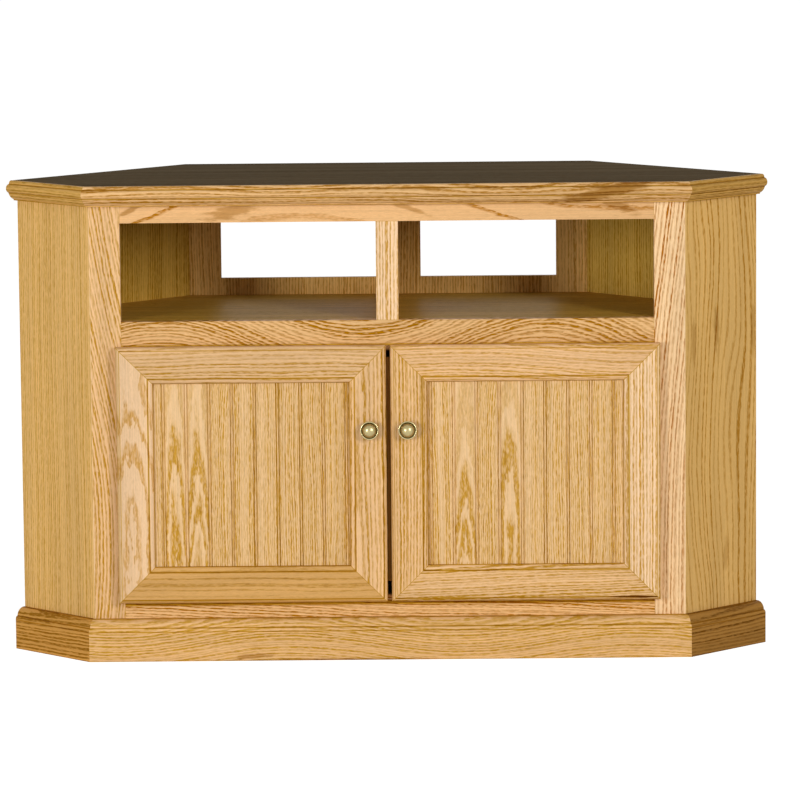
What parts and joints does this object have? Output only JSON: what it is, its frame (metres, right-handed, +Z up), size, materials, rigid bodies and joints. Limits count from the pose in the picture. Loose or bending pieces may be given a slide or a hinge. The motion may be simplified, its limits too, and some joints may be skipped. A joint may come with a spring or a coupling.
{
  "type": "corner tv cabinet",
  "caption": "Oak corner television cabinet with angled wings, open media bays above hinged beadboard doors, a stained top, crown and base mouldings and cable cut-outs in the back.",
  "frame": {"origin": "on the floor, in the middle of the box of the whole cabinet with its doors shut", "axes": "+Z up, +X to the right as seen from the front, -Y towards the front"},
  "size_m": [1.314, 0.456, 0.82],
  "materials": {
    "oak": "satin lacquer",
    "oak_veneer": "satin lacquer",
    "oak_beadboard": "satin lacquer",
    "oak_inside": "matt lacquer",
    "stained_top": "satin lacquer",
    "batten": "raw planed",
    "dark_strip": "satin stain",
    "brass": "antique brushed",
    "steel": "zinc plated",
    "bumper": "soft clear"
  },
  "bodies": {
    "cabinet": {"back_panel": "oak_inside", "base_front": "oak", "base_left": "oak", "base_right": "oak", "bay_cleat_back": "batten", "bay_cleat_left": "batten", "bay_cleat_right": "batten", "bay_deck": "oak_inside", "bay_partition": "oak_inside", "bottom_cleat_back": "batten", "bottom_cleat_left": "batten", "bottom_cleat_right": "batten", "bottom_deck": "oak_inside", "bottom_rail": "oak", "crown_front": "oak", "crown_left": "oak", "crown_right": "oak", "left_hinge_arms": "steel", "left_stile": "oak", "left_wall_panel": "oak_inside", "left_wing_panel": "oak_veneer", "loose_shelf": "oak_inside", "middle_rail": "oak", "mullion": "oak", "right_hinge_arms": "steel", "right_stile": "oak", "right_wall_panel": "oak_inside", "right_wing_panel": "oak_veneer", "shelf_cleat_back": "batten", "shelf_cleat_left": "batten", "shelf_cleat_right": "batten", "top_glue_blocks": "batten", "top_panel": "stained_top", "top_rail": "oak"},
    "left_door": {"left_door_bottom_rail": "oak", "left_door_bumpers": "bumper", "left_door_hinge_stile": "oak", "left_door_lock_stile": "oak", "left_door_panel": "oak_beadboard", "left_door_top_rail": "oak", "left_hinge_cups": "steel", "left_knob": "brass"},
    "right_door": {"right_door_bottom_rail": "oak", "right_door_bumpers": "bumper", "right_door_gap_strip": "dark_strip", "right_door_hinge_stile": "oak", "right_door_lock_stile": "oak", "right_door_panel": "oak_beadboard", "right_door_top_rail": "oak", "right_hinge_cups": "steel", "right_knob": "brass"}
  },
  "joints": [
    {"name": "left_door_hinge", "type": "hinge", "parent": "cabinet", "child": "left_door", "pos_m": [-0.4575, -0.19101, 0.32225], "axis": [0, 0, -1], "range_deg": [0, 105]},
    {"name": "right_door_hinge", "type": "hinge", "parent": "cabinet", "child": "right_door", "pos_m": [0.4575, -0.19101, 0.32225], "axis": [0, 0, 1], "range_deg": [0, 105]}
  ]
}
